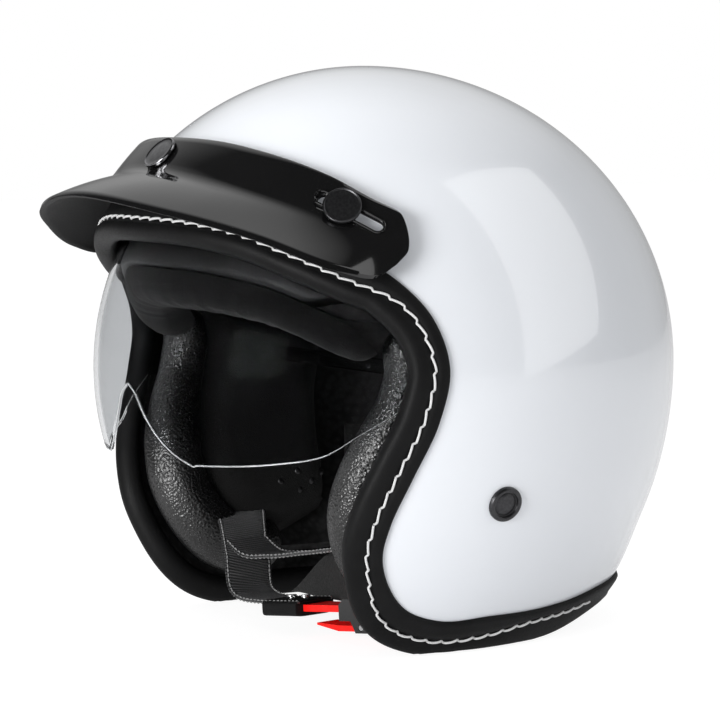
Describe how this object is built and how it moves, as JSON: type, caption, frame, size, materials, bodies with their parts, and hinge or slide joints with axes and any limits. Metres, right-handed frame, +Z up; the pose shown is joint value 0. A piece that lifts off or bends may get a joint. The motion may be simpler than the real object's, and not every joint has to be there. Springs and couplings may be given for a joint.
{
  "type": "open face motorcycle helmet",
  "caption": "Open face motorcycle helmet: white shell with stitched black leather edging, press-snap peak, drop-down clear sun visor, padded lining and a chin strap with a ratchet buckle.",
  "frame": {"origin": "middle of the helmet's footprint box, on the surface it stands on", "axes": "+Z up, -Y the way the face opening looks, +X the wearer's left"},
  "size_m": [0.2358, 0.2784, 0.2369],
  "materials": {
    "white_shell": "gloss",
    "edge_leather": "satin",
    "foam": "matte",
    "moulding": "satin",
    "lining": "matte",
    "pad_leather": "satin",
    "black_gloss": "gloss",
    "clear_lens": "polished",
    "dark_metal": "satin",
    "steel": "satin",
    "webbing": "matte",
    "red_plastic": "satin"
  },
  "bodies": {
    "helmet": {"brow_plate": "moulding", "buckle_housing": "black_gloss", "cheek_pad_left": "pad_leather", "cheek_pad_right": "pad_leather", "chin_strap_left": "webbing", "chin_strap_right": "webbing", "crown_liner": "lining", "edge_trim": "edge_leather", "eps_liner": "foam", "forehead_pad": "lining", "lever_pin": "steel", "lever_spring": "steel", "neck_roll": "lining", "outer_shell": "white_shell", "peak": "black_gloss", "snap_cap_center": "dark_metal", "snap_cap_left": "dark_metal", "snap_cap_right": "dark_metal", "snap_stud_center": "steel", "snap_stud_left": "steel", "snap_stud_right": "steel", "strap_anchor_left": "steel", "strap_anchor_right": "steel", "strap_rivet_left": "dark_metal", "strap_rivet_right": "dark_metal", "visor_bracket_left": "moulding", "visor_bracket_right": "moulding", "visor_screw_left": "steel", "visor_screw_right": "steel"},
    "visor": {"sun_visor": "clear_lens"},
    "lever": {"buckle_lever": "red_plastic"},
    "tongue": {"ratchet_tongue": "red_plastic", "tongue_rivet_1": "steel", "tongue_rivet_2": "steel"}
  },
  "joints": [
    {"name": "visor_hinge", "type": "hinge", "parent": "helmet", "child": "visor", "pos_m": [0, -0.00127, 0.1105], "axis": [-1, 0, 0], "range_deg": [0, 40]},
    {"name": "lever_hinge", "type": "hinge", "parent": "helmet", "child": "lever", "pos_m": [0.05467, -0.03011, 0.00884], "axis": [0.2258, -0.9739, 0.0235], "range_deg": [0, 10], "stiffness_Nm_per_rad": 0.02, "springref_deg": -17.19},
    {"name": "ratchet_slide", "type": "slide", "parent": "helmet", "child": "tongue", "axis": [-0.9686, -0.227, -0.1009], "range_m": [0, 0.0096], "deforming": ["chin_strap_right"]}
  ]
}
